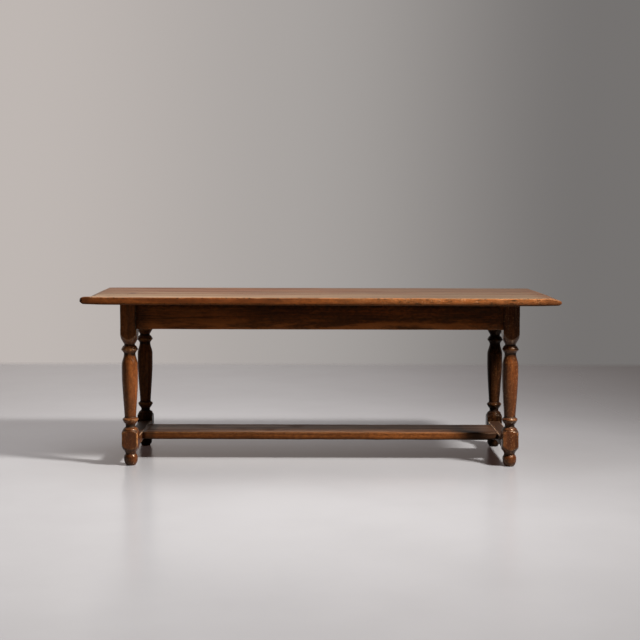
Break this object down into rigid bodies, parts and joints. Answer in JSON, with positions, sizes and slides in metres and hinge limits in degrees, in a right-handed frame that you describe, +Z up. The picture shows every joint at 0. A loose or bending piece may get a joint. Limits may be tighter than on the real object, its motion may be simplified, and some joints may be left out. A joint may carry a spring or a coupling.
{
  "type": "refectory table",
  "caption": "Long joined dining table with a rounded plank top, turned legs with ball feet, plain apron rails, low end stretchers and a foot board between them.",
  "frame": {"origin": "on the floor, under the middle of the top", "axes": "+X along the table to the right, -Y towards the front, +Z up"},
  "size_m": [2.1014, 0.785, 0.765],
  "materials": {
    "oak_top": "worn waxed oak, mid brown, long open grain",
    "oak_frame": "dark waxed oak with lighter worn arrises",
    "oak_low": "scuffed oak, greyed on the upper face by feet",
    "oak_pegs": "riven oak pegs and dowels, end grain showing"
  },
  "bodies": {
    "root": {"top_board_front": "oak_top", "top_board_middle": "oak_top", "top_board_back": "oak_top", "leg_front_left": "oak_frame", "leg_front_right": "oak_frame", "leg_back_left": "oak_frame", "leg_back_right": "oak_frame", "apron_front": "oak_frame", "apron_back": "oak_frame", "apron_left": "oak_frame", "apron_right": "oak_frame", "top_bearer": "oak_frame", "stretcher_left": "oak_low", "stretcher_right": "oak_low", "footrest_board": "oak_low", "apron_pegs_front": "oak_pegs", "apron_pegs_back": "oak_pegs", "apron_pegs_left": "oak_pegs", "apron_pegs_right": "oak_pegs", "stretcher_pegs_left": "oak_pegs", "stretcher_pegs_right": "oak_pegs", "footrest_pegs_left": "oak_pegs", "footrest_pegs_right": "oak_pegs", "top_pegs_left": "oak_pegs", "top_pegs_bearer": "oak_pegs", "top_pegs_right": "oak_pegs", "edge_dowels_front": "oak_pegs", "edge_dowels_back": "oak_pegs"}
  },
  "joints": []
}
